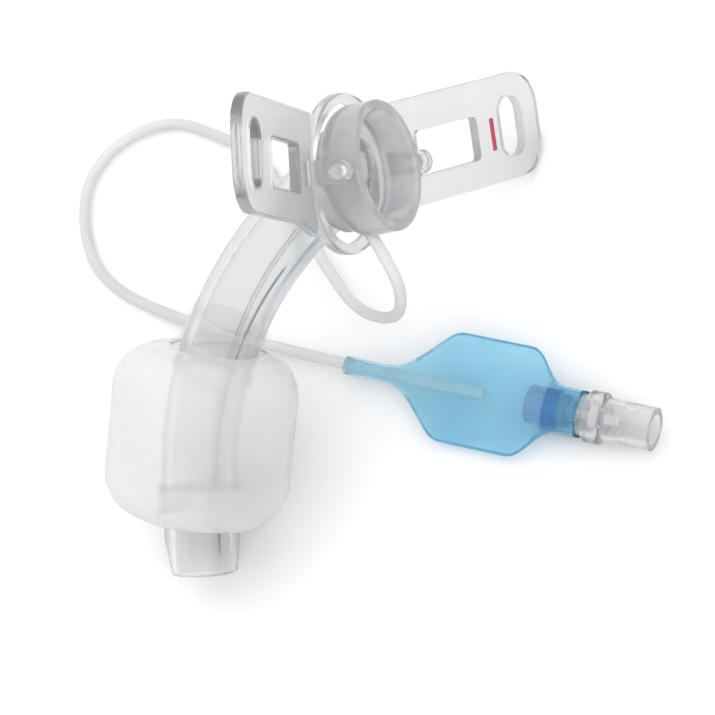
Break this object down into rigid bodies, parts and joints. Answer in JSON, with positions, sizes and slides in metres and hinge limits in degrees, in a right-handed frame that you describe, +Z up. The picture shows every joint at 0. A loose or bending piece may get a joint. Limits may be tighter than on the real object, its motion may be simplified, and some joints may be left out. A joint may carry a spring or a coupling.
{
  "type": "cuffed tracheostomy tube",
  "caption": "Curved clear airway tube with an inflated cuff, a swivelling neck flange, a grey socket connector and a pilot balloon with a self-closing valve on a thin line.",
  "frame": {"origin": "middle of the bottom of the box around the tube, cuff, connector and flange, on the table they lie on", "axes": "+Z up from the table, +Y towards the top edge of the flange as seen from above, +X to the side that the connector opens to"},
  "size_m": [0.0929, 0.0776, 0.0803],
  "materials": {
    "clear_tube": "clear soft PVC",
    "cuff_film": "thin translucent film",
    "grey_connector": "grey translucent moulding",
    "clear_flange": "clear soft moulding",
    "white_line": "milky thin tube",
    "blue_film": "sky-blue welded film",
    "clear_valve": "clear hard moulding",
    "blue_insert": "blue moulding",
    "white_plunger": "white moulding",
    "seal_rubber": "soft washer",
    "spring_wire": "bright wire"
  },
  "bodies": {
    "tube": {"cannula": "clear_tube", "cuff": "cuff_film", "connector": "grey_connector", "inflation_line": "white_line", "pilot_balloon": "blue_film", "valve_housing": "clear_valve", "valve_insert": "blue_insert", "valve_spring": "spring_wire"},
    "flange": {"neck_flange": "clear_flange"},
    "plunger": {"valve_plunger": "white_plunger", "plunger_seal": "seal_rubber"}
  },
  "joints": [
    {"name": "flange_swivel", "type": "hinge", "parent": "tube", "child": "flange", "pos_m": [0.01619, 0.01071, 0.03809], "axis": [0.2114, 0.4437, -0.8709], "range_deg": [-10, 7]},
    {"name": "plunger_press", "type": "slide", "parent": "tube", "child": "plunger", "axis": [-0.964, 0.2637, -0.0349], "range_m": [0, 0.0012], "stiffness_N_per_m": 300, "springref_m": -0.002, "deforming": ["valve_spring"]}
  ]
}
